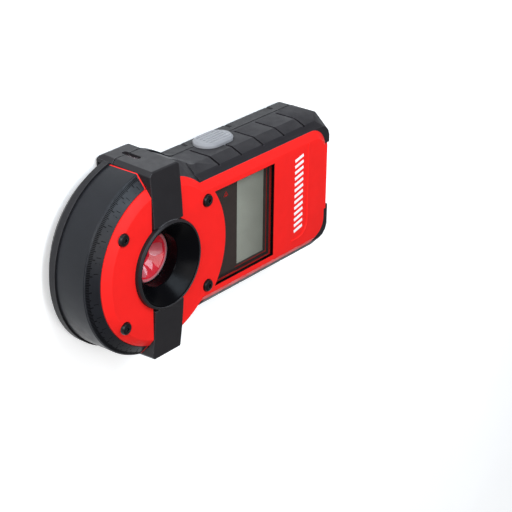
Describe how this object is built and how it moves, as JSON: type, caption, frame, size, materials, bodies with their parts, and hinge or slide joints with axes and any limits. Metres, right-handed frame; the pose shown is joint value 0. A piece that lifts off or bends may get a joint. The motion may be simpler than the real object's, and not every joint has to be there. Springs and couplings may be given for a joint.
{
  "type": "stud finder",
  "caption": "Hand-held stud finder: round sensing head with a lit marking hole and cross yoke, display in the handle, side push button.",
  "frame": {"origin": "on the marking hole's axis, in the wall plane that the pads and the marking tube rest on", "axes": "+Z is the front face's normal, +X runs along the handle away from the head, +Y is the side with the push button"},
  "size_m": [0.1662, 0.0914, 0.0344],
  "materials": {
    "red_plastic": "moulded ABS, satin with a fine grain",
    "black_plastic": "moulded ABS, fine spark-eroded grain",
    "yoke_plastic": "moulded ABS, satin",
    "bumper_rubber": "soft-touch rubber, satin, moulded scale",
    "grip_rubber": "overmoulded rubber, matt",
    "gloss_black": "polished black",
    "red_clear": "clear red acrylic, polished",
    "clear_plastic": "clear acrylic, polished",
    "smoked_window": "smoked acrylic, polished",
    "bezel_print": "dark printed sheet",
    "lcd_glass": "reflective liquid crystal glass",
    "white_plastic": "white moulding",
    "dark_fittings": "black engineering plastic",
    "circuit_board": "green solder mask",
    "copper": "copper foil and wire",
    "brass_barrel": "turned brass",
    "button_grey": "grey elastomer, satin",
    "battery_jacket": "plain grey printed jacket",
    "lead_insulation": "red and black insulated leads",
    "foam": "closed-cell foam",
    "black_screw": "black oxide steel",
    "steel_screw": "zinc plated",
    "felt": "felt"
  },
  "bodies": {
    "housing": {"front_housing": "red_plastic", "rear_housing": "black_plastic", "head_bumper": "bumper_rubber", "front_yoke": "yoke_plastic", "rear_yoke": "yoke_plastic", "funnel_liner": "gloss_black", "light_cup": "red_clear", "cup_rim": "clear_plastic", "right_grip": "grip_rubber", "left_grip": "grip_rubber", "display_window": "smoked_window", "window_seal": "dark_fittings", "display_bezel": "bezel_print", "lcd_panel": "lcd_glass", "backlight": "white_plastic", "lcd_frame": "dark_fittings", "contact_strips": "grip_rubber", "main_board": "circuit_board", "control_chips": "dark_fittings", "buzzer": "dark_fittings", "sensor_board": "circuit_board", "sensor_plates": "copper", "sensor_coil": "copper", "link_cable": "white_plastic", "link_sockets": "white_plastic", "light_board": "circuit_board", "ring_leds": "clear_plastic", "laser_modules": "brass_barrel", "laser_windows": "clear_plastic", "push_switch": "dark_fittings", "switch_board": "circuit_board", "battery": "battery_jacket", "battery_snap": "dark_fittings", "battery_leads": "lead_insulation", "face_screws": "black_screw", "rear_screws": "black_screw", "board_screws_set": "steel_screw", "glide_pads": "felt"},
    "button": {"side_button": "button_grey"},
    "door": {"battery_door": "black_plastic", "door_foam": "foam"}
  },
  "joints": [
    {"name": "button_press", "type": "slide", "parent": "housing", "child": "button", "axis": [0, -1, 0], "range_m": [0, 0.0012], "stiffness_N_per_m": 800, "springref_m": -0.0004},
    {"name": "battery_door_hinge", "type": "hinge", "parent": "housing", "child": "door", "pos_m": [0.0624, 0, 0.0024], "axis": [0, 1, 0], "range_deg": [0, 75]}
  ]
}
